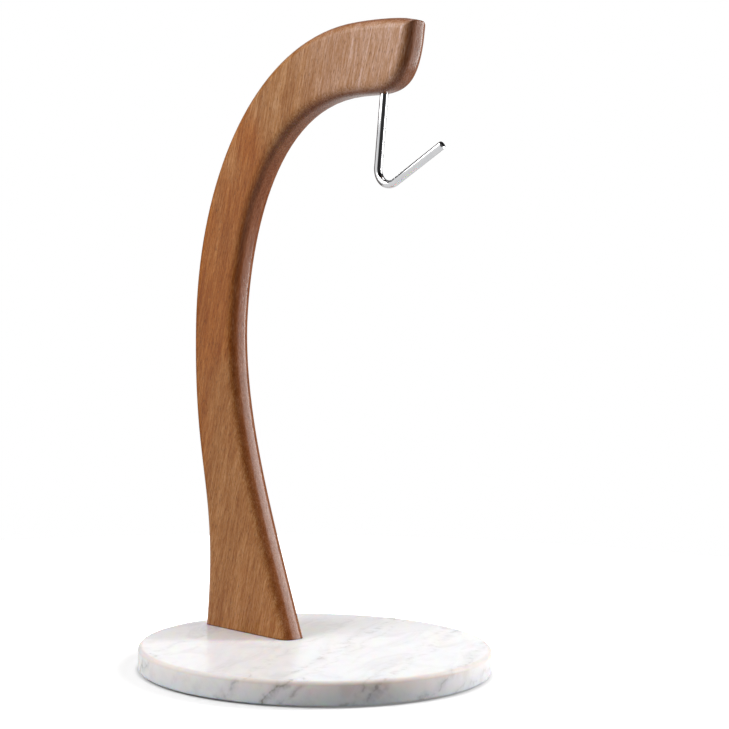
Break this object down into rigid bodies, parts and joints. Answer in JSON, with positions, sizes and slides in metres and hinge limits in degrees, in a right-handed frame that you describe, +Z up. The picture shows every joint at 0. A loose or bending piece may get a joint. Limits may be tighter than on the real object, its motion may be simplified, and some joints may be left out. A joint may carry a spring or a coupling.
{
  "type": "banana hanger",
  "caption": "Countertop banana hanger: a curved solid wood arm on a round polished marble base, with a chromed rod hook under its tip.",
  "frame": {"origin": "on the surface that the hanger stands on, under the middle of the marble disc", "axes": "+Z up; the arm lies in the XZ plane and its hook points towards +X"},
  "size_m": [0.2071, 0.2032, 0.368],
  "materials": {
    "marble": "polished white marble with soft grey veins",
    "arm_wood": "oiled reddish brown hardwood, satin",
    "hook_chrome": "bright chrome plate",
    "screw_steel": "zinc plated steel",
    "washer_steel": "zinc plated steel",
    "pad_rubber": "matte soft foam rubber"
  },
  "bodies": {
    "root": {"marble_base": "marble", "wooden_arm": "arm_wood", "banana_hook": "hook_chrome", "arm_screw_rear": "screw_steel", "arm_screw_front": "screw_steel", "washer_rear": "washer_steel", "washer_front": "washer_steel", "foot_pad_1": "pad_rubber", "foot_pad_2": "pad_rubber", "foot_pad_3": "pad_rubber", "foot_pad_4": "pad_rubber"}
  },
  "joints": []
}
